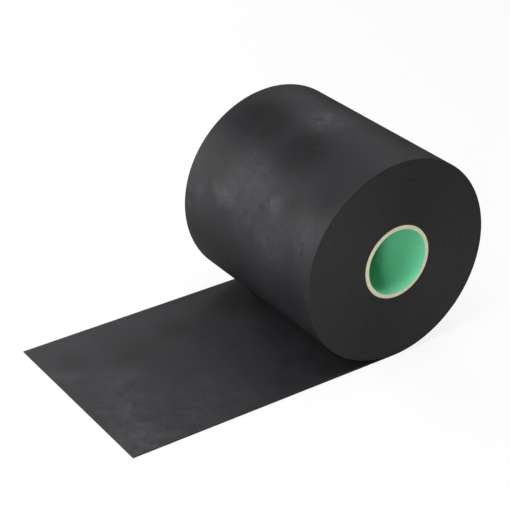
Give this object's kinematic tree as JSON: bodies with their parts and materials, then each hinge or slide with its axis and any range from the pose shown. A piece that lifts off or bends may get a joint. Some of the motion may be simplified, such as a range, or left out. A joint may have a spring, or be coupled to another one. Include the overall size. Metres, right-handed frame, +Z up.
{
  "type": "roll of rubber sealing tape",
  "caption": "Roll of black rubber sealing tape wound on a cardboard core with a green-lined bore, lying on its side with its free end unrolled flat.",
  "frame": {"origin": "on the floor under the middle of the roll's axis, on the line where the tape leaves the roll", "axes": "+Z up; Y along the roll's axis, with the picture's visible end at -Y; the unrolled tail runs to -X"},
  "size_m": [0.4736, 0.25, 0.2492],
  "materials": {
    "rubber": "calendered black rubber with a faint pale bloom",
    "core_board": "saw-cut spiral-wound board, bare",
    "lining_paper": "smooth green paper ply"
  },
  "bodies": {
    "root": {"rubber_tape": "rubber", "core_tube": "core_board", "core_lining": "lining_paper"}
  },
  "joints": []
}
